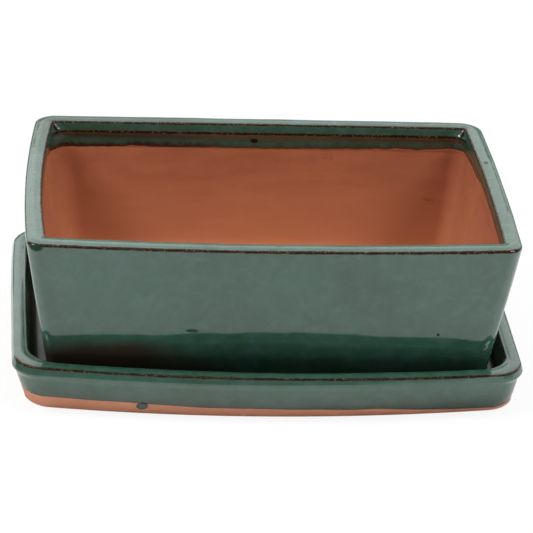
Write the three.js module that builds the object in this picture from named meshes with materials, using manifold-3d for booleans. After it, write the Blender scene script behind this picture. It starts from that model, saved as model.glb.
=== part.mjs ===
// Rectangular glazed planter standing in its saucer.
// Two fired clay pieces: a pot with tapered, slightly bowed walls, an inward collar, drain holes
// and four corner feet, and a shallow saucer with a thick lip that catches the water.
// Millimetres, +Z up, +X along the length, -Y is the front. The saucer stands on z = 0.

import * as THREE from 'three';
import { mergeVertices } from 'three/addons/utils/BufferGeometryUtils.js';
import Module from 'manifold-3d';

// Driving dimensions of the pot
const potRimLength = 260;
const potRimDepth = 177;
const potHeight = 91.5;
const potRimBow = { front: 5, back: 0.5, left: 3.7, right: 1.5 };
const potFootBow = { front: 2.5, back: 0.5, left: 1.8, right: 1 };
const potCorner = { frontLeft: 5.5, frontRight: 8.5, backRight: 12, backLeft: 8.5 };
const rimWidth = 9.5;
const rimOuterRound = 2;
const rimInnerRound = 1.1;
const rimCrown = 0.4;
const collarDrop = 6.6;
const collarRecess = 1.6;
const collarRecessDrop = 3.2;
const collarTopCorner = 2.6;
const collarLowCorner = 8;
const cavityCorner = 12;
const cavityCove = 11;
const potFloor = 8;
const drainDiameter = 20;
const drainSpacing = 120;

// Driving dimensions of the four corner feet under the pot
const footHeight = 4;
const footWidth = 15;
const footRun = 56;
const footRunEnd = 36;
const footRound = 2.5;
const footInnerCorner = 8;
const footDraft = 1.5;

// Driving dimensions of the saucer
const saucerLength = 278.8;
const saucerDepth = 176;
const saucerHeight = 27;
const saucerBow = { front: 10.3, back: 9.7, left: 0.8, right: 0.1 };
const saucerLeftSplay = 3.2;
const saucerCorner = { frontLeft: 14.5, frontRight: 14.5, backRight: 17.5, backLeft: 17.5 };
const lipWidth = 9.2;
const lipCrown = 0.5;
const lipShoulder = 1.3;
const lipShoulderDrop = 4.2;
const lipInnerRound = 1.8;
const lipDrop = 7.2;
const lipOverhang = 1.7;
const saucerFootInset = 5.9;
const saucerFootRound = 2;
const saucerInnerCorner = 14;
const saucerFloorCorner = 9;
const saucerInnerLean = 2;
const saucerCove = 4.5;
const saucerFloor = 8;

// Fit of the pot in the saucer: the channels of water left between its foot and the saucer's wall
const channelEnd = 9.95;
const channelSide = 5;
const standGap = 0.3;
const potShift = 1.5;

// Fineness of the faceted surfaces
const cornerSteps = 7;
const longSideSteps = 12;
const shortSideSteps = 8;
const roundSteps = 4;
const coveSteps = 4;
const drainSteps = 32;

// The pot's foot is sized to stand in the saucer with a channel all round it.
const saucerWallSpan = lipWidth + saucerInnerLean;
const potFootLength = saucerLength - 2 * (saucerWallSpan + channelEnd);
const potFootDepth = saucerDepth - 2 * (saucerWallSpan + channelSide);

// Plan outlines

// A bowed rectangle is a rounded rectangle whose four sides each swell out by their own amount,
// as the walls of a pressed clay box do. The outline runs anticlockwise from the front left corner.
function bowedRectangle({ length, depth, bow, splay = 0 }, inset, corner) {
  const halfLength = length / 2 - inset;
  const halfDepth = depth / 2 - inset;
  const points = [];
  const side = (from, to, steps) => {
    for (let i = 1; i < steps; i += 1) {
      points.push(new THREE.Vector2().lerpVectors(from, to, i / steps));
    }
  };
  const turn = (signX, signY, radius, startAngle) => {
    const centre = new THREE.Vector2(signX * (halfLength - radius), signY * (halfDepth - radius));
    for (let i = 0; i <= cornerSteps; i += 1) {
      const angle = startAngle + (i / cornerSteps) * (Math.PI / 2);
      points.push(new THREE.Vector2(Math.cos(angle), Math.sin(angle)).multiplyScalar(radius).add(centre));
    }
  };
  const sideTo = (signX, signY, radius, steps, alongX) => {
    const end = alongX
      ? new THREE.Vector2(signX * (halfLength - radius), signY * halfDepth)
      : new THREE.Vector2(signX * halfLength, signY * (halfDepth - radius));
    side(points[points.length - 1].clone(), end, steps);
  };
  turn(-1, -1, corner.frontLeft, Math.PI);
  sideTo(1, -1, corner.frontRight, longSideSteps, true);
  turn(1, -1, corner.frontRight, -Math.PI / 2);
  sideTo(1, 1, corner.backRight, shortSideSteps, false);
  turn(1, 1, corner.backRight, 0);
  sideTo(-1, 1, corner.backLeft, longSideSteps, true);
  turn(-1, 1, corner.backLeft, Math.PI / 2);
  sideTo(-1, -1, corner.frontLeft, shortSideSteps, false);
  return points.map((point) => {
    const u = point.x / halfLength;
    const v = point.y / halfDepth;
    const swellX = (u > 0 ? bow.right : bow.left) * u * (1 - v * v);
    const swellY = (v > 0 ? bow.back : bow.front) * v * (1 - u * u);
    const lean = u < 0 ? splay * u * v : 0;
    return new THREE.Vector2(point.x + swellX + lean, point.y + swellY);
  });
}

const mixNumbers = THREE.MathUtils.lerp;

function mixSides(a, b, t) {
  return Object.fromEntries(Object.keys(a).map((key) => [key, mixNumbers(a[key], b[key], t)]));
}

const evenCorner = (radius) => ({
  frontLeft: radius,
  frontRight: radius,
  backRight: radius,
  backLeft: radius,
});

// Lofted shells

// A station is one ring of a shell: how far in from the outer face it lies, its height, and its
// corner radii. The points of a section path give the first two, and the corners change evenly.
function stationsAlong(path, steps, cornerFrom, cornerTo) {
  const points = path.getPoints(steps);
  return points.map((point, i) => ({
    inset: point.x,
    z: point.y,
    corner: mixSides(cornerFrom, cornerTo, i / (points.length - 1)),
  }));
}

// The first ring is closed by the underside and the last by the inside floor.
function loft(stations, outlineAt) {
  const rings = stations.map(({ inset, z, corner }) => (
    bowedRectangle(outlineAt(z), inset, corner).map((point) => new THREE.Vector3(point.x, point.y, z))
  ));
  const count = rings[0].length;
  const underside = rings.length * count;
  const floor = underside + 1;
  const lastRing = underside - count;
  const centres = [new THREE.Vector3(0, 0, stations[0].z), new THREE.Vector3(0, 0, stations.at(-1).z)];
  const triangles = [];
  for (let j = 0; j < count; j += 1) {
    const next = (j + 1) % count;
    triangles.push(underside, next, j);
    triangles.push(floor, lastRing + j, lastRing + next);
    for (let start = 0; start < lastRing; start += count) {
      triangles.push(start + j, start + next, start + count + next);
      triangles.push(start + j, start + count + next, start + count + j);
    }
  }
  const geometry = new THREE.BufferGeometry().setFromPoints([...rings.flat(), ...centres]);
  geometry.setIndex(triangles);
  return geometry;
}

// Joins paths end to end, leaving out the ring that two neighbours share.
function joinStations(...runs) {
  return runs.flatMap((run, i) => (i === 0 ? run : run.slice(1)));
}

// Solids to cut with

const wasm = await Module();
wasm.setup();

function toSolid(geometry) {
  const bare = geometry.clone();
  bare.deleteAttribute('normal');
  bare.deleteAttribute('uv');
  const merged = mergeVertices(bare);
  return new wasm.Manifold(new wasm.Mesh({
    numProp: 3,
    vertProperties: new Float32Array(merged.attributes.position.array),
    triVerts: new Uint32Array(merged.index.array),
  }));
}

function toGeometry(solid) {
  const { vertProperties, triVerts } = solid.getMesh();
  const geometry = new THREE.BufferGeometry();
  geometry.setAttribute('position', new THREE.BufferAttribute(vertProperties, 3));
  geometry.setIndex(new THREE.BufferAttribute(triVerts, 1));
  geometry.computeVertexNormals();
  return geometry;
}

// The pot

function potOutlineAt(z) {
  const t = z / potHeight;
  return {
    length: mixNumbers(potFootLength, potRimLength, t),
    depth: mixNumbers(potFootDepth, potRimDepth, t),
    bow: mixSides(potFootBow, potRimBow, t),
  };
}

function potStations() {
  const rimEdge = potHeight - rimCrown;
  const collarFoot = potHeight - collarDrop;
  const cavityTop = collarFoot - collarRecessDrop;
  const cavityInset = rimWidth - collarRecess;
  const floorTop = footHeight + potFloor;

  const foot = new THREE.Path().moveTo(footWidth + footDraft, footHeight);
  foot.lineTo(footWidth, 0);
  foot.lineTo(footRound, 0);

  const wall = new THREE.Path().moveTo(footRound, 0);
  wall.quadraticCurveTo(0, 0, 0, footRound);
  wall.lineTo(0, rimEdge - rimOuterRound);
  wall.quadraticCurveTo(0, rimEdge, rimOuterRound, rimEdge);

  const rim = new THREE.Path().moveTo(rimOuterRound, rimEdge);
  rim.quadraticCurveTo(rimWidth / 2, rimEdge + 2 * rimCrown, rimWidth - rimInnerRound, rimEdge);
  rim.quadraticCurveTo(rimWidth, rimEdge, rimWidth, rimEdge - rimInnerRound);

  const collar = new THREE.Path().moveTo(rimWidth, rimEdge - rimInnerRound);
  collar.lineTo(rimWidth, collarFoot + collarRecess);
  collar.quadraticCurveTo(rimWidth, collarFoot, rimWidth - collarRecess / 2, cavityTop + collarRecessDrop / 2);
  collar.lineTo(cavityInset, cavityTop);

  const cavity = new THREE.Path().moveTo(cavityInset, cavityTop);
  cavity.lineTo(cavityInset, floorTop + cavityCove);
  cavity.quadraticCurveTo(cavityInset, floorTop, cavityInset + cavityCove, floorTop);

  const footCorner = evenCorner(footInnerCorner);
  const topCorner = evenCorner(collarTopCorner);
  const lowCorner = evenCorner(collarLowCorner);
  const roomCorner = evenCorner(cavityCorner);
  return joinStations(
    stationsAlong(foot, roundSteps, footCorner, potCorner),
    stationsAlong(wall, roundSteps, potCorner, potCorner),
    stationsAlong(rim, roundSteps, potCorner, topCorner),
    stationsAlong(collar, roundSteps, topCorner, lowCorner),
    stationsAlong(cavity, coveSteps, roomCorner, roomCorner),
  );
}

function drainHole(x) {
  const height = footHeight + 2 * potFloor;
  const hole = new THREE.CylinderGeometry(drainDiameter / 2, drainDiameter / 2, height, drainSteps);
  return toSolid(hole.rotateX(Math.PI / 2).translate(x, 0, height / 2));
}

// The gap that parts two feet, as a tunnel with sloping ends that runs right under the pot along Y.
function footGap(width, reach) {
  const section = new THREE.Shape();
  section.moveTo(-width / 2 - footDraft, -footHeight);
  section.lineTo(width / 2 + footDraft, -footHeight);
  section.lineTo(width / 2, 0);
  section.lineTo(width / 2 - footDraft, footHeight);
  section.lineTo(footDraft - width / 2, footHeight);
  section.lineTo(-width / 2, 0);
  section.closePath();
  const tunnel = new THREE.ExtrudeGeometry(section, { depth: reach, bevelEnabled: false });
  return tunnel.rotateX(Math.PI / 2).translate(0, reach / 2, 0);
}

function potGeometry() {
  const shell = toSolid(loft(potStations(), potOutlineAt));
  const gapAlongSides = footGap(potFootLength - 2 * footRun, 2 * potRimDepth);
  const gapAlongEnds = footGap(potFootDepth - 2 * footRunEnd, 2 * potRimLength).rotateZ(Math.PI / 2);
  const pot = shell
    .subtract(toSolid(gapAlongSides))
    .subtract(toSolid(gapAlongEnds))
    .subtract(drainHole(-drainSpacing / 2))
    .subtract(drainHole(drainSpacing / 2));
  return toGeometry(pot);
}

// The saucer

const saucerOutline = {
  length: saucerLength,
  depth: saucerDepth,
  bow: saucerBow,
  splay: saucerLeftSplay,
};

function saucerStations() {
  const lipEdge = saucerHeight - lipCrown;
  const lipWidest = lipEdge - lipShoulderDrop;
  const lipFoot = saucerHeight - lipDrop;

  const wall = new THREE.Path().moveTo(saucerFootInset + saucerFootRound, 0);
  wall.quadraticCurveTo(saucerFootInset, 0, saucerFootInset, saucerFootRound);
  wall.lineTo(lipOverhang, lipFoot);

  // Below its upper edge the lip slopes out to its widest point, and then turns under to the wall.
  const lip = new THREE.Path().moveTo(lipOverhang, lipFoot);
  lip.quadraticCurveTo(0, (lipFoot + lipWidest) / 2, 0, lipWidest);
  lip.quadraticCurveTo(lipShoulder / 2, lipEdge - lipShoulder / 2, lipShoulder, lipEdge);

  const top = new THREE.Path().moveTo(lipShoulder, lipEdge);
  top.quadraticCurveTo(lipWidth / 2, lipEdge + 2 * lipCrown, lipWidth - lipInnerRound, lipEdge);
  top.quadraticCurveTo(lipWidth, lipEdge, lipWidth, lipEdge - lipInnerRound);

  const inside = new THREE.Path().moveTo(lipWidth, lipEdge - lipInnerRound);
  inside.lineTo(saucerWallSpan, saucerFloor + saucerCove);
  inside.quadraticCurveTo(saucerWallSpan, saucerFloor, saucerWallSpan + saucerCove, saucerFloor);

  const innerCorner = evenCorner(saucerInnerCorner);
  const floorCorner = evenCorner(saucerFloorCorner);
  return joinStations(
    stationsAlong(wall, roundSteps, saucerCorner, saucerCorner),
    stationsAlong(lip, roundSteps, saucerCorner, saucerCorner),
    stationsAlong(top, roundSteps, saucerCorner, innerCorner),
    stationsAlong(inside, coveSteps, innerCorner, floorCorner),
  );
}

// The assembly

const glaze = { roughness: 0.18, metalness: 0 };

const saucer = new THREE.Mesh(
  loft(saucerStations(), () => saucerOutline),
  new THREE.MeshStandardMaterial({ color: 0x4a6a5a, ...glaze }),
);
saucer.name = 'saucer';

const pot = new THREE.Mesh(
  potGeometry(),
  new THREE.MeshStandardMaterial({ color: 0x5a7568, ...glaze }),
);
pot.name = 'pot';
pot.position.set(potShift, 0, saucerFloor + standGap);

const planter = new THREE.Group();
planter.add(saucer, pot);

// The origin is the middle of the footprint box, on the ground.
const middle = new THREE.Box3().setFromObject(planter).getCenter(new THREE.Vector3());
planter.position.set(-middle.x, -middle.y, 0);
planter.updateMatrixWorld(true);

export default planter;
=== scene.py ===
# Rectangular glazed planter standing in its saucer: two castings of red clay with a dark green glaze.
# Metres, +Z up, +X along the length, the front at -Y. The saucer stands on z = 0.
import bisect
import math

import bmesh
import bpy
from mathutils import Matrix, Vector, geometry, noise


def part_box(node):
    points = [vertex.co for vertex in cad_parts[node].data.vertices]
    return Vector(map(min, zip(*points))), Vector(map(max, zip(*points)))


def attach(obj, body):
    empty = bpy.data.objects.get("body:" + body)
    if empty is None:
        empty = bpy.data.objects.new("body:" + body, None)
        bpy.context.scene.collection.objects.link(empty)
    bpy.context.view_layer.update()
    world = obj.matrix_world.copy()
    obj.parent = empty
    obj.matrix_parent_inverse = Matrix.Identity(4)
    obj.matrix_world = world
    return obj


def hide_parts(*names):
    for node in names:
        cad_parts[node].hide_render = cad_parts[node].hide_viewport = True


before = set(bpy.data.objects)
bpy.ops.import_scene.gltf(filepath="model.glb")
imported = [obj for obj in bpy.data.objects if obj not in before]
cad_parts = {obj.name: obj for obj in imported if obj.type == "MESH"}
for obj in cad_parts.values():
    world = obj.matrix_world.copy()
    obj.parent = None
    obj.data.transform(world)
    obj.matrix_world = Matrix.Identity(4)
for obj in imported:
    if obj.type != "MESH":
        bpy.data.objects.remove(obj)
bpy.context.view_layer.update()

# Saucer
# A shallow tray of red clay, slip cast in plaster, with a thick lip that catches the water.
# It was dipped in the glaze, which stops in a slanting line just above the foot, and a drop of it
# ran down over the bare foot band. The underside is bare too.

# The planter's sizes are in mm until its meshes are made; those of the floor, lamps and camera are in metres.
# A pair such as LIP_BREAK_FRONT is where something begins along an axis and where it is complete. Four numbers
# are the radii of the corners, from the front left one.
MM = 0.001
SAUCER_LIP = {"length": 278.8, "depth": 176, "front": 10.3, "back": 9.7, "left": 0.8, "right": 0.1,
              "splay": 3.2, "skew": 0, "x": 0, "y": 0}
SAUCER_FOOT = {"length": 281.4, "depth": 172.8, "front": 10.7, "back": 9.8, "left": 0.7, "right": 0.1,
               "splay": 3.2, "skew": 0.8, "x": 1.6, "y": -0.6}
SAUCER_CORNER = (13, 14, 17.5, 20)
SAUCER_HEIGHT = 27
SAUCER_SAG = 0.6
SAUCER_EDGE_SKEW = -0.5
LIP_WIDTH = 9.2
LIP_CROWN = 0.5
LIP_SHOULDER = 1.3
LIP_SHOULDER_DROP = 4.2
LIP_SHOULDER_HANDLE = 0.88
LIP_INNER_ROUND = 1.8
LIP_DROP = 7.2
LIP_OVERHANG = 1.7
LIP_FILLET = 2
LIP_ROUND = 0.9
LIP_BREAK_WIDTH = 2.3
LIP_BREAK_FRONT = (68, 78)
LIP_INNER_BREAK_WIDTH = 1.5
LIP_INNER_BREAK_ENDS = (110, 120)
SAUCER_FOOT_INSET = 5.9
SAUCER_FOOT_ROUND = 2
SAUCER_INNER_CORNER = (14, 14, 14, 14)
SAUCER_FLOOR_CORNER = (9, 9, 9, 9)
SAUCER_INNER_LEAN = 2
SAUCER_COVE = 4.5
SAUCER_FLOOR = 8
# The saucer's floor is painted shade: it is marked as burnt to this degree, so its glaze comes out dark brown
# and dull, like the shaded channel round the pot.
SAUCER_FLOOR_PAINTED_SHADE = 1.35
GLAZE_THICKNESS = 0.3
DIP_LINE = 6
DIP_SLANT = -0.021
DIP_DROP = 1
DIP_DROP_X = (60, 125)
DIP_WOBBLE = 0.9
DIP_WOBBLE_LENGTH = 24
DIP_FADE = 5
DROP_PLACE = (0, 1.5 * math.pi, 0.216)
DROP_SIDE_SLOPE = -0.074
DROP_Z = 5.6
DROP_HALF_WIDTH = 3.3
DROP_HALF_HEIGHT = 2.5
DROP_TILT = 0.25
DROP_DOME = [(1, -0.2), (0.97, 0.1), (0.88, 0.3), (0.72, 0.48), (0.5, 0.6), (0.22, 0.66)]
DROP_STEPS = 28
SLUMP = 0.22
SLUMP_LENGTH = 48
SLUMP_FULL_HEIGHT = 8
RIPPLE = 0.12
RIPPLE_LENGTH = 20
SHARP_ANGLE = 50

CORNERS = [(-1, -1), (1, -1), (1, 1), (-1, 1)]
CORNER_STEPS = 12
LONG_STEPS = 120
SHORT_STEPS = 78


def places_round():
    """The places of a ring's points, anticlockwise from the front left corner. Each lies the share t of the
    way from an angle on one corner's arc to the same angle on the next one's."""
    places = []
    for k in range(4):
        start = math.pi + k * math.pi / 2
        steps = SHORT_STEPS if k % 2 else LONG_STEPS
        places += [(k, start + math.pi / 2 * i / CORNER_STEPS, 0) for i in range(CORNER_STEPS)]
        places += [(k, start + math.pi / 2, i / steps) for i in range(steps)]
    return places


PLACES = places_round()


def plan_point(plan, inset, radii, place):
    """The (x, y) in mm of a place on a rounded rectangle whose sides swell out. radii has one radius for each
    corner."""
    half_length = plan["length"] / 2 - inset
    half_depth = plan["depth"] / 2 - inset
    corner, angle, t = place

    def on_arc(k):
        sign_x, sign_y = CORNERS[k]
        return Vector((sign_x * (half_length - radii[k]) + radii[k] * math.cos(angle),
                       sign_y * (half_depth - radii[k]) + radii[k] * math.sin(angle)))

    x, y = on_arc(corner).lerp(on_arc((corner + 1) % 4), t)
    u, v = x / half_length, y / half_depth
    swell_x = (plan["right"] if u > 0 else plan["left"]) * u * (1 - v * v)
    swell_y = (plan["back"] if v > 0 else plan["front"]) * v * (1 - u * u)
    lean = plan["splay"] * u * v if u < 0 else 0
    return x + swell_x + lean + plan["x"], y + swell_y + plan["skew"] * u + plan["y"]


def mix_plans(low, high, t):
    """The plan the share t of the way from one plan to another."""
    return {key: low[key] + (high[key] - low[key]) * t for key in low}


def straight(start, end, step):
    """Points of a section line from start to end, no further apart than step."""
    steps = max(1, math.ceil(math.dist(start, end) / step))
    return [tuple(a + (b - a) * i / steps for a, b in zip(start, end)) for i in range(steps + 1)]


def bend(start, handle, end, steps):
    """Points along a quadratic curve."""
    points = []
    for i in range(steps + 1):
        t = i / steps
        points.append(tuple((1 - t) ** 2 * a + 2 * t * (1 - t) * h + t * t * b
                            for a, h, b in zip(start, handle, end)))
    return points


def section(*runs):
    """Joins runs of (points, radii at the start, radii at the end) into the stations of a casting's section.
    A station is (distance along the section, inset, height, one radius for each corner), all in mm."""
    stations = []
    for points, radii_from, radii_to in runs:
        for i, (inset, z) in enumerate(points):
            if stations and i == 0:
                continue
            t = i / (len(points) - 1)
            radii = (a + (b - a) * t for a, b in zip(radii_from, radii_to))
            reach = stations[-1][0] + math.dist(stations[-1][1:3], (inset, z)) if stations else 0
            stations.append((reach, inset, z, *radii))
    return stations


def reach_of(stations, inset, z):
    """How far along the section the station nearest to that point lies."""
    return min(stations, key=lambda station: math.dist(station[1:3], (inset, z)))[0]


def at_reach(stations, reach):
    """Inset, height and radii at any distance along the section."""
    after = min(max(1, bisect.bisect(stations, (reach,))), len(stations) - 1)
    a, b = stations[after - 1], stations[after]
    t = (reach - a[0]) / (b[0] - a[0])
    return tuple(p + (q - p) * t for p, q in zip(a[1:], b[1:]))


def hump(value, centre, width):
    """1 at the centre, falling smoothly to 0 at the width on both sides."""
    t = max(0, 1 - abs(value - centre) / width)
    return t * t * (3 - 2 * t)


def ramp(value, low, high):
    """A share that rises evenly from 0 at low to 1 at high."""
    return min(1, max(0, (value - low) / (high - low)))


def wave(x, y, length):
    """Smooth unevenness, from about -0.5 to 0.5, whose swellings are about length mm apart."""
    return noise.noise(Vector((x, y, 0)) / length)


def casting(stations, plan_at, glazed, sharp, slides, lift, burnt_and_shaded):
    """Lofts a section round its plan, and returns the mesh with its rings. glazed is the stretch of the
    section that holds glaze. sharp lists (distance along the section, width, function) of the edges where the
    glaze runs thin, and how much of it has run off there at a point. slides lists (distance, width, function)
    of the ragged limits that the rings near them follow. lift raises single points, and the last function
    says how brown the glaze is burnt at one, which on the saucer's floor is painted shade."""
    bm = bmesh.new()
    thin = bm.verts.layers.float.new("thin")
    from_limit = bm.verts.layers.float.new("from_limit")
    burn_and_shade = bm.verts.layers.float.new("burn_and_shade")
    rings = []
    for station in stations:
        reach = station[0]
        near = [(hump(reach, centre, width), shift)
                for centre, width, shift in slides if abs(reach - centre) < width]
        ring = []
        for place in PLACES:
            x, y = plan_point(plan_at(station[2]), station[1], station[3:], place)
            moved = reach + sum(share * shift(x, y) for share, shift in near)
            inset, z, *radii = at_reach(stations, moved)
            x, y = plan_point(plan_at(z), inset, radii, place)
            z += lift(reach, place, x, y, z)
            vertex = bm.verts.new(Vector((x, y, z)) * MM)
            vertex[burn_and_shade] = burnt_and_shaded(reach, x, y, z)
            vertex[thin] = max(hump(moved, centre, width) * share(x, y) for centre, width, share in sharp)
            vertex[from_limit] = min(reach - glazed[0], glazed[1] - reach)
            ring.append(vertex)
        rings.append(ring)
    for lower, upper, station in zip(rings, rings[1:], stations[1:]):
        for j in range(len(PLACES)):
            k = (j + 1) % len(PLACES)
            face = bm.faces.new((lower[j], lower[k], upper[k], upper[j]))
            face.material_index = GLAZED if glazed[0] < station[0] <= glazed[1] else BARE
    return bm, rings


GLAZED, BARE = 0, 1
PANEL_PITCH = 7


def flat_panel(bm, ring, holes, up, finish):
    """Fills a level ring of vertices with a flat panel, round the rings of vertices of its round holes."""
    loops = [ring, *holes]
    border = [vertex for loop in loops for vertex in loop]
    flat = [vertex.co.xy / MM for vertex in border]
    edges = []
    for loop in loops:
        first = len(edges)
        edges += [(first + i, first + (i + 1) % len(loop)) for i in range(len(loop))]
    reach_x, reach_y = (int(max(p[k] for p in flat) / PANEL_PITCH) for k in (0, 1))
    grid = [Vector((i, j)) * PANEL_PITCH
            for i in range(-reach_x, reach_x + 1) for j in range(-reach_y, reach_y + 1)]
    grid = [p for p in grid if min((p - q).length for q in flat) > PANEL_PITCH / 2]
    points, _, triangles, origins, _, _ = geometry.delaunay_2d_cdt(flat + grid, edges, [], 1, 1e-4)
    middles = [sum((v.co.xy for v in hole), Vector((0, 0))) / len(hole) / MM for hole in holes]
    radii = [(hole[0].co.xy / MM - middle).length for hole, middle in zip(holes, middles)]
    carried = [bm.verts.layers.float[name] for name in ("from_limit", "burn_and_shade")]
    used = {}
    for triangle in triangles:
        centre = sum((points[i] for i in triangle), Vector((0, 0))) / 3
        if any((centre - middle).length < radius for middle, radius in zip(middles, radii)):
            continue
        for i in triangle:
            if i not in used:
                old = [o for o in origins[i] if o < len(border)]
                used[i] = border[old[0]] if old else bm.verts.new((*points[i] * MM, ring[0].co.z))
                for layer in carried:
                    used[i][layer] = ring[0][layer]
        face = bm.faces.new([used[i] for i in triangle])
        face.normal_update()
        if (face.normal.z > 0) != up:
            face.normal_flip()
        face.material_index = finish


def make_piece(name, bm, node):
    """Lets the clay slump a little, as it does in the kiln, and seats the casting on the place of its CAD
    node."""
    bm.normal_update()
    for vertex in bm.verts:
        height = vertex.co.z / MM
        slump = (SLUMP * noise.noise(vertex.co / MM / SLUMP_LENGTH)
                 + RIPPLE * noise.noise(vertex.co / MM / RIPPLE_LENGTH))
        vertex.co += vertex.normal * (slump * MM * min(1, height / SLUMP_FULL_HEIGHT))
    low = Vector(min(v.co[k] for v in bm.verts) for k in range(3))
    high = Vector(max(v.co[k] for v in bm.verts) for k in range(3))
    node_low, node_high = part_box(node)
    middle = (node_low + node_high - low - high) / 2
    bmesh.ops.translate(bm, verts=bm.verts, vec=(middle.x, middle.y, node_low.z - low.z))
    mesh = bpy.data.meshes.new(name)
    bm.to_mesh(mesh)
    bm.free()
    mesh.shade_smooth()
    mesh.set_sharp_from_angle(angle=math.radians(SHARP_ANGLE))
    piece = bpy.data.objects.new(name, mesh)
    bpy.context.scene.collection.objects.link(piece)
    return piece


def saucer_plan(z):
    """The saucer's outline at a height. It goes from the foot's to the lip's, whose edge is skewed."""
    plan = mix_plans(SAUCER_FOOT, SAUCER_LIP, min(1, z / lip_foot))
    plan["skew"] += SAUCER_EDGE_SKEW * ramp(z, lip_widest, lip_edge)
    return plan


def sag(reach, place, x, y, z):
    """How far the saucer has sunk: it is a little lower at its right end than at its left one."""
    return -SAUCER_SAG * x / (SAUCER_LIP["length"] / 2) * z / SAUCER_HEIGHT


def add_drop(bm):
    """A drop of glaze that ran down after the dip and set on the foot band as a low dome."""
    low, high = (Vector((*plan_point(saucer_plan(z), SAUCER_FOOT_INSET + wall_slope * (z - SAUCER_FOOT_ROUND),
                                     SAUCER_CORNER, DROP_PLACE), z)) for z in (DROP_Z - 1, DROP_Z + 1))
    upward = (high - low).normalized()
    along = Vector((1, DROP_SIDE_SLOPE, 0)).normalized()
    outward = along.cross(upward)
    centre = (low + high) / 2
    from_limit = bm.verts.layers.float["from_limit"]
    rings = []
    for share, rise in DROP_DOME:
        ring = []
        for i in range(DROP_STEPS):
            angle = 2 * math.pi * i / DROP_STEPS
            flat = (along * (DROP_HALF_WIDTH * math.cos(angle))
                    + upward * (DROP_HALF_HEIGHT * math.sin(angle + DROP_TILT)))
            ring.append(bm.verts.new((centre + flat * share + outward * rise) * MM))
            ring[-1][from_limit] = (1 - share) * DROP_HALF_HEIGHT
        rings.append(ring)
    for outer, inner in zip(rings, rings[1:]):
        for j in range(DROP_STEPS):
            k = (j + 1) % DROP_STEPS
            bm.faces.new((outer[j], outer[k], inner[k], inner[j])).material_index = GLAZED
    bm.faces.new(rings[-1]).material_index = GLAZED


def dip_shift(x, y):
    """How much further up than usual the glaze ends on the saucer."""
    return DIP_SLANT * x - DIP_DROP * ramp(x, *DIP_DROP_X) + DIP_WOBBLE * wave(x, y, DIP_WOBBLE_LENGTH)


lip_edge = SAUCER_HEIGHT - LIP_CROWN
lip_widest = lip_edge - LIP_SHOULDER_DROP
lip_foot = SAUCER_HEIGHT - LIP_DROP
saucer_wall_span = LIP_WIDTH + SAUCER_INNER_LEAN
wall_slope = (LIP_OVERHANG - SAUCER_FOOT_INSET) / (lip_foot - SAUCER_FOOT_ROUND)
wall_top = (LIP_OVERHANG - wall_slope * LIP_FILLET, lip_foot - LIP_FILLET)
lip_middle = (LIP_OVERHANG / 2, (lip_foot + lip_widest) / 2)
shoulder_foot = (LIP_SHOULDER * LIP_ROUND / LIP_SHOULDER_DROP, lip_widest + LIP_ROUND)
dip_inset = SAUCER_FOOT_INSET + wall_slope * (DIP_LINE - SAUCER_FOOT_ROUND)
bare_inset = SAUCER_FOOT_INSET + GLAZE_THICKNESS
dip_foot = (dip_inset + GLAZE_THICKNESS, DIP_LINE)
dip_edge = (dip_inset, DIP_LINE + 2 * GLAZE_THICKNESS)
lip_outer = (LIP_SHOULDER, lip_edge)
lip_inner = (LIP_WIDTH - LIP_INNER_ROUND, lip_edge)
lip_inner_foot = (LIP_WIDTH, lip_edge - LIP_INNER_ROUND)
tray_cove = (saucer_wall_span, SAUCER_FLOOR + SAUCER_COVE)
# The last number of a bend is how many steps it has, and that of a straight line is its pitch.
saucer_stations = section(
    (bend((bare_inset + SAUCER_FOOT_ROUND, 0), (bare_inset, 0), (bare_inset, SAUCER_FOOT_ROUND), 6),
     SAUCER_CORNER, SAUCER_CORNER),
    (straight((bare_inset, SAUCER_FOOT_ROUND), dip_foot, 0.8), SAUCER_CORNER, SAUCER_CORNER),
    (bend(dip_foot, (dip_inset, DIP_LINE), dip_edge, 3), SAUCER_CORNER, SAUCER_CORNER),
    (straight(dip_edge, wall_top, 1.2), SAUCER_CORNER, SAUCER_CORNER),
    (bend(wall_top, (LIP_OVERHANG, lip_foot), lip_middle, 6), SAUCER_CORNER, SAUCER_CORNER),
    (bend(lip_middle, (0, lip_widest), shoulder_foot, 8), SAUCER_CORNER, SAUCER_CORNER),
    (bend(shoulder_foot, (LIP_SHOULDER * LIP_SHOULDER_HANDLE, lip_edge - LIP_SHOULDER / 4), lip_outer, 12),
     SAUCER_CORNER, SAUCER_CORNER),
    (bend(lip_outer, (LIP_WIDTH / 2, lip_edge + 2 * LIP_CROWN), lip_inner, 10),
     SAUCER_CORNER, SAUCER_INNER_CORNER),
    (bend(lip_inner, (LIP_WIDTH, lip_edge), lip_inner_foot, 10), SAUCER_INNER_CORNER, SAUCER_INNER_CORNER),
    (straight(lip_inner_foot, tray_cove, 1.5), SAUCER_INNER_CORNER, SAUCER_FLOOR_CORNER),
    (bend(tray_cove, (saucer_wall_span, SAUCER_FLOOR), (saucer_wall_span + SAUCER_COVE, SAUCER_FLOOR), 8),
     SAUCER_FLOOR_CORNER, SAUCER_FLOOR_CORNER),
)
dip_reach = reach_of(saucer_stations, *dip_foot)
saucer_floor_reach = reach_of(saucer_stations, LIP_WIDTH, SAUCER_FLOOR + SAUCER_COVE)
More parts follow.
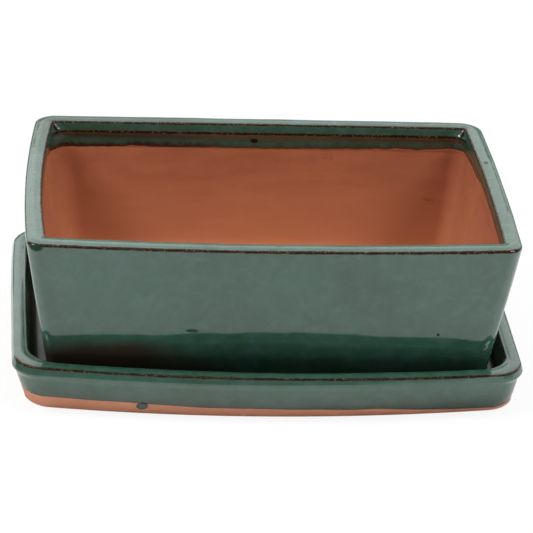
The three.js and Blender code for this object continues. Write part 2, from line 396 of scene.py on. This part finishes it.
saucer_mesh, saucer_rings = casting(
    saucer_stations,
    plan_at=saucer_plan,
    glazed=(dip_reach, math.inf),
    sharp=[(reach_of(saucer_stations, *lip_outer), LIP_BREAK_WIDTH, lambda x, y: ramp(-y, *LIP_BREAK_FRONT)),
           (reach_of(saucer_stations, LIP_WIDTH - LIP_INNER_ROUND / 4, lip_edge - LIP_INNER_ROUND / 4),
            LIP_INNER_BREAK_WIDTH, lambda x, y: ramp(abs(x), *LIP_INNER_BREAK_ENDS))],
    slides=[(dip_reach, DIP_FADE, dip_shift)],
    lift=sag,
    # The saucer's floor gets painted shade: it is marked as burnt, so its glaze comes out dark and dull.
    burnt_and_shaded=lambda reach, x, y, z: SAUCER_FLOOR_PAINTED_SHADE if reach > saucer_floor_reach else 0,
)
flat_panel(saucer_mesh, saucer_rings[0], [], up=False, finish=BARE)
flat_panel(saucer_mesh, saucer_rings[-1], [], up=True, finish=GLAZED)
add_drop(saucer_mesh)
saucer = make_piece("glazed_saucer", saucer_mesh, "saucer")


def linear(hex_colour):
    """An sRGB colour such as 1f4a36 as linear red, green, blue and alpha."""
    channels = [int(hex_colour[i:i + 2], 16) / 255 for i in (0, 2, 4)]
    return (*(c / 12.92 if c <= 0.04045 else ((c + 0.055) / 1.055) ** 2.4 for c in channels), 1)


def add(material, kind, settings=None, inputs=None):
    """Adds a node to a material with its settings, and its inputs as values or as links from other nodes."""
    made = material.node_tree.nodes.new(kind)
    for key, value in (settings or {}).items():
        setattr(made, key, value)
    for key, value in (inputs or {}).items():
        if isinstance(value, bpy.types.NodeSocket):
            material.node_tree.links.new(value, made.inputs[key])
        else:
            made.inputs[key].default_value = value
    return made


def new_material(name):
    """An empty material, to be built up from nodes."""
    material = bpy.data.materials.new(name)
    material.use_nodes = True
    material.node_tree.nodes.clear()
    return material


MIX_FACTOR, MIX_A, MIX_B, MIX_RESULT = 0, 6, 7, 2
PER_METRE = 1000
SPOT_CORE = 0.6
CLAY_IOR = 1.5


def map_range(material, value, low, high, at_low=0, at_high=1, smooth=False):
    """Goes evenly, or smoothly, from at_low to at_high as the value goes from low to high."""
    return add(material, "ShaderNodeMapRange", {"interpolation_type": "SMOOTHSTEP" if smooth else "LINEAR"},
               {"Value": value, "From Min": low, "From Max": high,
                "To Min": at_low, "To Max": at_high}).outputs["Result"]


def calculate(material, operation, *values, clamp=False):
    """The result of a Math node on numbers or sockets."""
    return add(material, "ShaderNodeMath", {"operation": operation, "use_clamp": clamp},
               dict(enumerate(values))).outputs["Value"]


def product(material, a, b):
    """Two shares multiplied, kept between 0 and 1."""
    return calculate(material, "MULTIPLY", a, b, clamp=True)


def mesh_value(material, name):
    """A value that the mesh carries at its vertices."""
    return add(material, "ShaderNodeAttribute", {"attribute_name": name}).outputs["Fac"]


def noise_at(material, place, size, **settings):
    """A noise around 0.5 whose features are about size mm apart."""
    return add(material, "ShaderNodeTexNoise", None,
               {"Vector": place, "Scale": PER_METRE / size, **settings}).outputs["Fac"]


def noise_share(material, place, size, low, high, to_max=1, **settings):
    """Such a noise as a share that rises from 0 at low to to_max at high."""
    return map_range(material, noise_at(material, place, size, **settings), low, high, 0, to_max)


def spot(material, place, centre, radii):
    """A share that is 1 inside a small ellipsoid on the surface and falls to 0 at its edge. The centre and
    radii are in mm."""
    off = place
    for operation, by in (("SUBTRACT", centre), ("DIVIDE", radii)):
        off = add(material, "ShaderNodeVectorMath", {"operation": operation},
                  {0: off, 1: Vector(by) * MM}).outputs["Vector"]
    far = add(material, "ShaderNodeVectorMath", {"operation": "LENGTH"}, {0: off}).outputs["Value"]
    return map_range(material, far, SPOT_CORE, 1, 1, 0, smooth=True)


def blend(material, share, colour_a, colour_b):
    """Mixes two colours, each a socket or an sRGB colour such as 1f4a36."""
    a, b = (linear(colour) if isinstance(colour, str) else colour for colour in (colour_a, colour_b))
    return add(material, "ShaderNodeMix", {"data_type": "RGBA"},
               {MIX_FACTOR: share, MIX_A: a, MIX_B: b}).outputs[MIX_RESULT]


def bump(material, height, distance, strength=1, **inputs):
    """The normals of a relief that is distance mm deep."""
    made = add(material, "ShaderNodeBump", None,
               {"Height": height, "Distance": distance * MM, "Strength": strength, **inputs})
    return made.outputs["Normal"]


def surface(material, colour, roughness, gloss, normals, ior=CLAY_IOR):
    """Ends a material in one opaque shader."""
    shader = add(material, "ShaderNodeBsdfPrincipled", None, {
        "Base Color": colour, "Roughness": roughness, "Specular IOR Level": gloss,
        "Normal": normals, "IOR": ior})
    add(material, "ShaderNodeOutputMaterial", None, {"Surface": shader.outputs["BSDF"]})


GLAZE_GREENS = ("2a4d3c", "305747")
GLAZE_MILK = "4c6a66"
GLAZE_SPECK = "45443a"
GLAZE_OLIVE = "332d1f"
GLAZE_FRINGE = "21120c"
GLAZE_END = "39251a"
GLAZE_BURNT_AND_SHADE = "3d3026"
GLAZE_HALO = "434a34"
# The dark brown of the glaze broken on the edges, and the tan of the painted glints beaded along it.
BROKEN_BROWN_AND_PAINTED_GLINT = ("26140d", "7d644a")
GLAZE_IOR = 1.65
# Five specks and pits on the pot, and the dark creases at its collar's two back corners: centre and radii in
# mm, and colour.
GLAZE_MARKS = [
    ((128.3, 27.3, 99.7), (1.7, 2.6, 3), "4b463c"),
    ((-0.2, 79.1, 89.1), (2.8, 4, 1.7), "2a120c"),
    ((92, -79.8, 45.2), (1.1, 6, 1.1), "121a14"),
    ((-39.8, -81.8, 47), (4.3, 6, 1.5), "234a36"),
    ((-123.2, -88.4, 97.2), (5.6, 4, 2.4), "1f3d2b"),
    ((-116.2, 77.8, 95.2), (3.2, 3.2, 3.5), "20160f"),
    ((122.2, 77.8, 95.2), (3.2, 3.2, 3.5), "20160f"),
]


def green_glaze():
    """Dark green glaze on red clay, fired glossy. It pools dark and milky on the walls, breaks to brown where
    it runs thin over an edge, and is burnt brown in places. The brown on the edges is beaded with tan painted
    glints, and the saucer's floor is painted dark and dull as shade. It bends light strongly, so it mirrors
    the white floor as a grey veil."""
    glaze = new_material("green_glossy_glaze")
    place = add(glaze, "ShaderNodeTexCoord").outputs["Object"]
    broad = noise_share(glaze, place, 50, 0.35, 0.65, Detail=3)
    cloud = noise_share(glaze, place, 9, 0.42, 0.75, 0.5, Detail=5, Roughness=0.62, Distortion=0.4)
    speck = noise_share(glaze, place, 1.8, 0.56, 0.72, 0.45, Detail=3, Roughness=0.6)
    fray = noise_at(glaze, place, 4, Detail=4, Roughness=0.65)
    limit = mesh_value(glaze, "from_limit")
    burn_and_shade = mesh_value(glaze, "burn_and_shade")
    thin = mesh_value(glaze, "thin")

    # Green on the walls, olive towards its limit, where it ends in a ragged dark fringe and a brown line.
    colour = blend(glaze, broad, *GLAZE_GREENS)
    colour = blend(glaze, cloud, colour, GLAZE_MILK)
    colour = blend(glaze, speck, colour, GLAZE_SPECK)
    colour = blend(glaze, map_range(glaze, limit, 5, 11, 0.35, 0), colour, GLAZE_OLIVE)
    near = calculate(glaze, "ADD", limit, calculate(glaze, "MULTIPLY_ADD", fray, 7, -3.5))
    fringe = map_range(glaze, near, 1.2, 3.4, 1, 0)
    colour = blend(glaze, product(glaze, fringe, burn_and_shade), colour, GLAZE_FRINGE)
    colour = blend(glaze, map_range(glaze, limit, 0.2, 1.1, 0.8, 0), colour, GLAZE_END)
    # Burnt brown where the pot's glaze is scorched. The same blend paints shade on the saucer's floor, which
    # is marked the same way.
    colour = blend(glaze, map_range(glaze, burn_and_shade, 0.8, 1.8, 0, 0.9), colour, GLAZE_BURNT_AND_SHADE)

    # Brown on the sharp edges, beaded with tan painted glints of lamp light, with a halo of paler green beside
    # it.
    frayed = calculate(glaze, "ADD", thin, calculate(glaze, "MULTIPLY_ADD", fray, 0.9, -0.45))
    broken = map_range(glaze, frayed, 0.64, 0.82)
    brown = blend(glaze, noise_share(glaze, place, 1, 0.58, 0.7, 0.7, Detail=1), *BROKEN_BROWN_AND_PAINTED_GLINT)
    colour = blend(glaze, map_range(glaze, thin, 0, 0.6, 0, 0.22), colour, GLAZE_HALO)
    colour = blend(glaze, broken, colour, brown)

    # The brown, the burnt patches, the marks and the saucer's floor, painted dark as shade there, have lost
    # their gloss.
    matt = map_range(glaze, burn_and_shade, 0.6, 1.5)
    dull = calculate(glaze, "MAXIMUM", product(glaze, broken, 0.7), matt)
    for centre, radii, tint in GLAZE_MARKS:
        mark = spot(glaze, place, centre, radii)
        colour = blend(glaze, mark, colour, tint)
        dull = calculate(glaze, "MAXIMUM", dull, mark)
    rough = map_range(glaze, cloud, 0, 0.5, 0.07, 0.13)
    gloss = map_range(glaze, dull, 0, 1, 0.5, 0.04)

    # Low swellings, and a fine orange peel on them.
    swell = bump(glaze, noise_at(glaze, place, 14, Detail=1), 0.12)
    peel = bump(glaze, noise_at(glaze, place, 2.2, Detail=2), 0.012, Normal=swell)
    surface(glaze, colour, rough, gloss, peel, GLAZE_IOR)
    return glaze


def bare_clay(name, dark, light, streaked, deep, marks):
    """Bare fired red clay: matt, with a sandy grain, wiping marks, faint stains and painted shade. The four
    colours are those of the body where it is darker and lighter, of the streaks, and of the clay far from the
    glaze. Far down the pot's room the clay turns to this paler colour, which is painted light for the bounce
    light low in the room, and the darker clay near the glaze is painted shade under the collar. marks lists
    (centre, radii, colour) of its stains and of painted shade."""
    clay = new_material(name)
    place = add(clay, "ShaderNodeTexCoord").outputs["Object"]
    wiped = add(clay, "ShaderNodeMapping", None, {"Vector": place, "Scale": (0.25, 1, 1)}).outputs["Vector"]
    broad = noise_share(clay, place, 60, 0.35, 0.65, Detail=3)
    streak = noise_share(clay, wiped, 7, 0.4, 0.7, 0.5, Detail=5, Roughness=0.6)
    smear = noise_share(clay, wiped, 1.6, 0.42, 0.66, 0.8, Detail=3)
    # Paler far from the glaze: painted light low in the pot's room, and painted shade near the collar.
    far = map_range(clay, mesh_value(clay, "from_limit"), -60, -8, 0.7, 0)
    colour = blend(clay, far, blend(clay, streak, blend(clay, broad, dark, light), streaked), deep)
    for centre, radii, tint in marks:
        colour = blend(clay, product(clay, spot(clay, place, centre, radii), smear), colour, tint)
    grain = bump(clay, noise_at(clay, place, 0.9, Detail=3), 0.12, 0.6)
    surface(clay, colour, 0.88, 0.3, grain)
    return clay


glaze_finish = green_glaze()
saucer.data.materials.append(glaze_finish)
SAUCER_CLAY_MARKS = [((-11.5, -92, 1.2), (1.9, 5, 1.5), "efd3c2")]
saucer.data.materials.append(bare_clay("dusty_terracotta", dark="cc8c70", light="d6987a", streaked="c08066",
                                       deep="d6987a", marks=SAUCER_CLAY_MARKS))
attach(saucer, "saucer")
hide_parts("saucer")

# Pot
# A tapered box of the same clay with a flat rim, a short collar inside it, two drain holes and
# four corner feet. The glaze covers the outside and runs over the rim a little way down the inside;
# the feet, the floor and the walls of the room for soil are bare.

POT_RIM = {"length": 260, "depth": 177, "front": 5, "back": 0.5, "left": 3.7, "right": 1.5,
           "splay": 0, "skew": 0, "x": 0, "y": 0}
POT_FOOT = {"length": 236.5, "depth": 143.6, "front": 2.5, "back": 0.5, "left": 1.8, "right": 1,
            "splay": 0, "skew": 0, "x": 0, "y": 0}
POT_HEIGHT = 91.5
WALL_SWAY = 0.25
POT_CORNER = (5.5, 8.5, 12, 10.5)
RIM_WIDTH = 9.5
RIM_OUTER_ROUND = 2
RIM_INNER_ROUND = 1.1
RIM_CROWN = 0.4
RIM_BREAK_WIDTH = 3
RIM_BREAK_FRONT = (80, 86)
RIM_INNER_BREAK_WIDTH = 2.3
COLLAR_DROP = 6.6
COLLAR_RECESS = 1.6
COLLAR_RECESS_DROP = 3.2
COLLAR_TOP_CORNER = (2.6, 2.6, 2.6, 2.6)
COLLAR_LOW_CORNER = (8, 8, 8, 8)
COLLAR_BREAK_WIDTH = 2.4
SEAM_WIDTH = 4
SEAM_INSET = 1.3
SEAM_CORE, SEAM_EDGE = 1, 2.4
ROOM_CORNER = (12, 12, 8, 12)
ROOM_COVE = 11
ROOM_GLAZE_DROP = 15
ROOM_GLAZE_WOBBLE = 1.1
ROOM_GLAZE_WOBBLE_LENGTH = 30
ROOM_GLAZE_RISE = 1.7
ROOM_GLAZE_RISE_X = (0, 110)
ROOM_GLAZE_RAGGED = 0.7
ROOM_GLAZE_RAGGED_LENGTH = 6
ROOM_GLAZE_END_RISE = 6.5
ROOM_GLAZE_END_X = (112, 119)
ROOM_GLAZE_END_LEFT = (-72, -35)
ROOM_GLAZE_END_RIGHT = (-72, 40)
ROOM_GLAZE_FADE = 15
ROOM_FINE_DEPTH = 8
POT_FLOOR = 8
DRAIN_RADIUS = 10
DRAIN_ROUND = 1.2
DRAIN_FROM_LIMIT = -10
DRAIN_STEPS = 56
DRAIN_X = 60
FOOT_HEIGHT = 4
FOOT_WIDTH = 15
FOOT_RUN = 56
FOOT_RUN_END = 36
FOOT_ROUND = 2.5
FOOT_INNER_CORNER = (8, 8, 8, 8)
FOOT_DRAFT = 1.5
FOOT_SLOPE = 5
FOOT_ARCH_FADE = 12
POT_GLAZE_START = 6
POT_GLAZE_WOBBLE = 1.6
POT_GLAZE_FADE = 3
SCORCH_RAGGED_LENGTH = 34
FRONT_SCORCH = 2.4
FRONT_SCORCH_Z = 12
FRONT_SCORCH_HEIGHT = 32
FRONT_SCORCH_RAGGED_Z = 12
FRONT_SCORCH_RAGGED_X = 40
FRONT_SCORCH_X = (0, 60)
FRONT_SCORCH_Y = (15, 65)
BACK_SCORCH = 0.4
BACK_SCORCH_MORE_LEFT = 0.6
BACK_SCORCH_X = (20, 45)
BACK_SCORCH_Y = (10, 40)


def pot_plan(z):
    """The pot's outline at a height: its walls lean out from the foot to the rim, in a faint S."""
    plan = mix_plans(POT_FOOT, POT_RIM, z / POT_HEIGHT)
    plan["y"] += WALL_SWAY * math.sin(2 * math.pi * z / POT_HEIGHT)
    return plan


def foot_arch(reach, place, x, y, z):
    """How far the gaps between the feet lift the lower edge of the pot."""
    if reach > FOOT_ARCH_FADE + FOOT_WIDTH:
        return 0
    if place[0] % 2 == 0:
        half_gap, off = POT_FOOT["length"] / 2 - FOOT_RUN, abs(x)
    else:
        half_gap, off = POT_FOOT["depth"] / 2 - FOOT_RUN_END, abs(y)
    t = min(1, max(0, (half_gap - off) / FOOT_SLOPE + 0.5))
    over_foot = 1 if reach > FOOT_HEIGHT else reach / FOOT_HEIGHT
    fade = min(1, max(0, (FOOT_ARCH_FADE + FOOT_WIDTH - reach) / FOOT_ARCH_FADE))
    return FOOT_HEIGHT * t * t * (3 - 2 * t) * over_foot * fade


def room_glaze_limit(x, y):
    """How much further down than usual the glaze ends inside the pot. It ends higher towards the right, and
    much higher towards the front of both end walls."""
    end = ROOM_GLAZE_END_RIGHT if x > 0 else ROOM_GLAZE_END_LEFT
    rise = (ROOM_GLAZE_RISE * ramp(x, *ROOM_GLAZE_RISE_X)
            + ROOM_GLAZE_END_RISE * ramp(abs(x), *ROOM_GLAZE_END_X) * ramp(-y, *end))
    return (ROOM_GLAZE_WOBBLE * wave(x, y, ROOM_GLAZE_WOBBLE_LENGTH) - rise
            + ROOM_GLAZE_RAGGED * wave(x, y, ROOM_GLAZE_RAGGED_LENGTH))


def pot_scorch(reach, x, y, z):
    """The glaze is burnt brown low on the front wall's left half, and at the back of the pot, more so on the
    left, where it shows along the glaze's limit in the room."""
    ragged = wave(x + y, z, SCORCH_RAGGED_LENGTH)
    front = (hump(z + FRONT_SCORCH_RAGGED_Z * ragged, FRONT_SCORCH_Z, FRONT_SCORCH_HEIGHT)
             * ramp(FRONT_SCORCH_RAGGED_X * ragged - x, *FRONT_SCORCH_X) * ramp(-y, *FRONT_SCORCH_Y))
    back = (BACK_SCORCH + BACK_SCORCH_MORE_LEFT * ramp(-x, *BACK_SCORCH_X)) * ramp(y, *BACK_SCORCH_Y)
    return FRONT_SCORCH * front + back


def corner_seam(x, y):
    """How thin the glaze runs down the collar's two back corners."""
    inset = RIM_WIDTH + SEAM_INSET
    off = math.dist((abs(x), y), (POT_RIM["length"] / 2 - inset, POT_RIM["depth"] / 2 - inset))
    return ramp(-off, -SEAM_EDGE, -SEAM_CORE)


rim_edge = POT_HEIGHT - RIM_CROWN
collar_foot = POT_HEIGHT - COLLAR_DROP
room_top = collar_foot - COLLAR_RECESS_DROP
room_inset = RIM_WIDTH - COLLAR_RECESS
room_bare_inset = room_inset - GLAZE_THICKNESS
floor_top = FOOT_HEIGHT + POT_FLOOR
glaze_low = (GLAZE_THICKNESS, POT_GLAZE_START)
glaze_low_edge = (0, POT_GLAZE_START + 2 * GLAZE_THICKNESS)
room_limit = POT_HEIGHT - ROOM_GLAZE_DROP
room_limit_edge = (room_inset, room_limit + 2 * GLAZE_THICKNESS)
rim_foot = (0, rim_edge - RIM_OUTER_ROUND)
rim_outer = (RIM_OUTER_ROUND, rim_edge)
rim_inner = (RIM_WIDTH - RIM_INNER_ROUND, rim_edge)
collar_top = (RIM_WIDTH, rim_edge - RIM_INNER_ROUND)
collar_low = (RIM_WIDTH, collar_foot + COLLAR_RECESS)
recess = (RIM_WIDTH - COLLAR_RECESS / 2, room_top + COLLAR_RECESS_DROP / 2)
room_bare_top = (room_bare_inset, room_limit)
room_fine_foot = (room_bare_inset, room_limit - ROOM_FINE_DEPTH)
room_cove = (room_bare_inset, floor_top + ROOM_COVE)
pot_stations = section(
    (straight((FOOT_WIDTH + FOOT_DRAFT, FOOT_HEIGHT), (FOOT_WIDTH, 0), 1),
     FOOT_INNER_CORNER, FOOT_INNER_CORNER),
    (straight((FOOT_WIDTH, 0), (FOOT_ROUND + GLAZE_THICKNESS, 0), 2.5), FOOT_INNER_CORNER, POT_CORNER),
    (bend((FOOT_ROUND + GLAZE_THICKNESS, 0), (GLAZE_THICKNESS, 0), (GLAZE_THICKNESS, FOOT_ROUND), 6),
     POT_CORNER, POT_CORNER),
    (straight((GLAZE_THICKNESS, FOOT_ROUND), glaze_low, 0.9), POT_CORNER, POT_CORNER),
    (bend(glaze_low, (0, POT_GLAZE_START), glaze_low_edge, 3), POT_CORNER, POT_CORNER),
    (straight(glaze_low_edge, rim_foot, 2.2), POT_CORNER, POT_CORNER),
    (bend(rim_foot, (0, rim_edge), rim_outer, 14), POT_CORNER, POT_CORNER),
    (bend(rim_outer, (RIM_WIDTH / 2, rim_edge + 2 * RIM_CROWN), rim_inner, 10),
     POT_CORNER, COLLAR_TOP_CORNER),
    (bend(rim_inner, (RIM_WIDTH, rim_edge), collar_top, 8), COLLAR_TOP_CORNER, COLLAR_TOP_CORNER),
    (straight(collar_top, collar_low, 0.8), COLLAR_TOP_CORNER, COLLAR_LOW_CORNER),
    (bend(collar_low, (RIM_WIDTH, collar_foot), recess, 8), COLLAR_LOW_CORNER, COLLAR_LOW_CORNER),
    (straight(recess, (room_inset, room_top), 0.7), COLLAR_LOW_CORNER, ROOM_CORNER),
    (straight((room_inset, room_top), room_limit_edge, 0.7), ROOM_CORNER, ROOM_CORNER),
    (bend(room_limit_edge, (room_inset, room_limit), room_bare_top, 3), ROOM_CORNER, ROOM_CORNER),
    (straight(room_bare_top, room_fine_foot, 0.8), ROOM_CORNER, ROOM_CORNER),
    (straight(room_fine_foot, room_cove, 3), ROOM_CORNER, ROOM_CORNER),
    (bend(room_cove, (room_bare_inset, floor_top), (room_bare_inset + ROOM_COVE, floor_top), 10),
     ROOM_CORNER, ROOM_CORNER),
)
glaze_low_reach = reach_of(pot_stations, *glaze_low)
room_limit_reach = reach_of(pot_stations, *room_bare_top)
pot_mesh, pot_rings = casting(
    pot_stations,
    plan_at=pot_plan,
    glazed=(glaze_low_reach, room_limit_reach),
    sharp=[(reach_of(pot_stations, RIM_OUTER_ROUND / 3, rim_edge - RIM_OUTER_ROUND / 3), RIM_BREAK_WIDTH,
            lambda x, y: ramp(-y, *RIM_BREAK_FRONT)),
           (reach_of(pot_stations, RIM_WIDTH - RIM_INNER_ROUND / 5, rim_edge - RIM_INNER_ROUND / 5),
            RIM_INNER_BREAK_WIDTH, lambda x, y: 1),
           (reach_of(pot_stations, RIM_WIDTH, collar_foot + COLLAR_RECESS / 4), COLLAR_BREAK_WIDTH,
            lambda x, y: 1),
           (reach_of(pot_stations, RIM_WIDTH, rim_edge - COLLAR_DROP / 2), SEAM_WIDTH, corner_seam)],
    slides=[(glaze_low_reach, POT_GLAZE_FADE, lambda x, y: POT_GLAZE_WOBBLE * wave(x, y, DIP_WOBBLE_LENGTH)),
            (room_limit_reach, ROOM_GLAZE_FADE, room_glaze_limit)],
    lift=foot_arch,
    burnt_and_shaded=pot_scorch,
)


def drain(bm, x):
    """The wall of a drain hole, its edges wiped round. Returns its lowest and highest ring of vertices."""
    from_limit = bm.verts.layers.float["from_limit"]
    outline = bend((DRAIN_RADIUS + DRAIN_ROUND, FOOT_HEIGHT), (DRAIN_RADIUS, FOOT_HEIGHT),
                   (DRAIN_RADIUS, FOOT_HEIGHT + DRAIN_ROUND), 5)
    outline += bend((DRAIN_RADIUS, floor_top - DRAIN_ROUND), (DRAIN_RADIUS, floor_top),
                    (DRAIN_RADIUS + DRAIN_ROUND, floor_top), 5)
    rings = []
    for radius, z in outline:
        ring = []
        for i in range(DRAIN_STEPS):
            angle = 2 * math.pi * i / DRAIN_STEPS
            point = Vector((x + radius * math.cos(angle), radius * math.sin(angle), z))
            ring.append(bm.verts.new(point * MM))
            ring[-1][from_limit] = DRAIN_FROM_LIMIT
        rings.append(ring)
    for lower, upper in zip(rings, rings[1:]):
        for j in range(DRAIN_STEPS):
            k = (j + 1) % DRAIN_STEPS
            bm.faces.new((lower[k], lower[j], upper[j], upper[k])).material_index = BARE
    return rings[0], rings[-1]


drains = [drain(pot_mesh, x) for x in (-DRAIN_X, DRAIN_X)]
flat_panel(pot_mesh, pot_rings[0], [low for low, high in drains], up=False, finish=BARE)
flat_panel(pot_mesh, pot_rings[-1], [high for low, high in drains], up=True, finish=BARE)
pot = make_piece("glazed_pot", pot_mesh, "pot")
pot.data.materials.append(glaze_finish)
# The first two are stains high on the room's back wall. The third, low on that wall by the right end, is
# painted shade that darkens the shadow in the corner.
POT_CLAY_MARKS = [((43.5, 76.8, 79.9), (3.6, 6, 3), "6f4436"), ((32.4, 76.3, 77.4), (5, 6, 4), "8a5c48"),
                  ((104.8, 72, 55.8), (4.5, 6, 3), "7a3a22")]
# The paler colour far from the glaze is painted light low in the room.
pot.data.materials.append(bare_clay("red_terracotta", dark="9c5b3e", light="a86545", streaked="905034",
                                    deep="c07f59", marks=POT_CLAY_MARKS))
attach(pot, "pot")
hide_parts("pot")

# Floor
# A plain white sweep of paper: it lies flat under the planter and curves up far behind it.

SWEEP_HALF_WIDTH = 5
SWEEP_FRONT = -4
SWEEP_BACK = 3.4
SWEEP_BEND = 1.2
SWEEP_LEVEL_HALF = 0.5
SWEEP_HEIGHT = 3.2
SWEEP_STEPS = 16
PAPER_GLOW = 0.87


def paper():
    """Matt white paper. The camera sees it nearly evenly white, with a faint shadow left."""
    white = new_material("white_paper")
    light = add(white, "ShaderNodeLightPath")
    share = calculate(white, "MULTIPLY", light.outputs["Is Camera Ray"], PAPER_GLOW)
    matt = add(white, "ShaderNodeBsdfDiffuse", None, {"Color": linear("f4f4f4")})
    glow = add(white, "ShaderNodeEmission", None, {"Color": linear("ffffff"), "Strength": 1})
    both = add(white, "ShaderNodeMixShader", None,
               {0: share, 1: matt.outputs["BSDF"], 2: glow.outputs["Emission"]})
    add(white, "ShaderNodeOutputMaterial", None, {"Surface": both.outputs["Shader"]})
    return white


sweep_mesh = bmesh.new()
profile = [(SWEEP_FRONT, 0), (-SWEEP_LEVEL_HALF, 0), (SWEEP_LEVEL_HALF, 0)]
profile += bend((SWEEP_BACK - SWEEP_BEND, 0), (SWEEP_BACK, 0), (SWEEP_BACK, SWEEP_BEND), SWEEP_STEPS)
profile.append((SWEEP_BACK, SWEEP_HEIGHT))
edges_of_sweep = [[sweep_mesh.verts.new((x, y, z)) for x in (-SWEEP_HALF_WIDTH, SWEEP_HALF_WIDTH)]
                  for y, z in profile]
for (a, b), (c, d) in zip(edges_of_sweep, edges_of_sweep[1:]):
    sweep_mesh.faces.new((a, b, d, c))
sweep = bpy.data.objects.new("paper_sweep", bpy.data.meshes.new("paper_sweep"))
sweep_mesh.to_mesh(sweep.data)
sweep_mesh.free()
sweep.data.shade_smooth()
sweep.data.materials.append(paper())
bpy.context.scene.collection.objects.link(sweep)

# Light
# Studio light: a strong small box high on either side, a weak one overhead, and two wide ones high
# behind, which the flat rims and the floor mirror.

AIM = Vector((0, 0, 0.05))
ROOM_LIGHT = 0.24


def softbox(name, place, width, height, radiance):
    """A flat lamp that faces the planter. Its power is worked out from how bright its face is."""
    lamp = bpy.data.lights.new(name, "AREA")
    lamp.shape = "RECTANGLE"
    lamp.size = width
    lamp.size_y = height
    lamp.energy = math.pi * width * height * radiance
    holder = bpy.data.objects.new(name, lamp)
    holder.location = place
    holder.rotation_euler = (Vector(place) - AIM).to_track_quat("Z", "Y").to_euler()
    bpy.context.scene.collection.objects.link(holder)


softbox("overhead_box", (0, -0.03, 1.6), 0.9, 0.9, 1.8)
softbox("left_box", (-1, -0.2, 1.25), 0.5, 0.5, 20)
softbox("right_box", (1, -0.25, 1.25), 0.5, 0.5, 17.5)
softbox("back_box", (0, 2.3, 1.9), 5, 2, 1.15)
softbox("back_left_box", (-1.3, 2.25, 1.9), 3, 2, 0.35)

world = bpy.data.worlds.new("studio")
bpy.context.scene.world = world
world.use_nodes = True
backdrop = world.node_tree.nodes["Background"]
backdrop.inputs["Color"].default_value = linear("ffffff")
backdrop.inputs["Strength"].default_value = ROOM_LIGHT

# Camera
# A long lens, a little to the left of the middle and some 26 degrees above the planter.

EYE = (-0.08934, -1.21281, 0.63157)
YAW, PITCH, ROLL = 4.42, -25.706, 2.685
SENSOR = 36
LENS = 162.16
CLIP_END = 30

lens = bpy.data.cameras.new("camera")
lens.sensor_width = SENSOR
lens.lens = LENS
lens.clip_end = CLIP_END
camera = bpy.data.objects.new("camera", lens)
turn = (Matrix.Rotation(math.radians(-YAW), 4, "Z") @ Matrix.Rotation(math.radians(90 + PITCH), 4, "X")
        @ Matrix.Rotation(math.radians(ROLL), 4, "Z"))
camera.matrix_world = Matrix.Translation(EYE) @ turn
bpy.context.scene.collection.objects.link(camera)
bpy.context.scene.camera = camera
bpy.context.scene.view_settings.view_transform = "Standard"
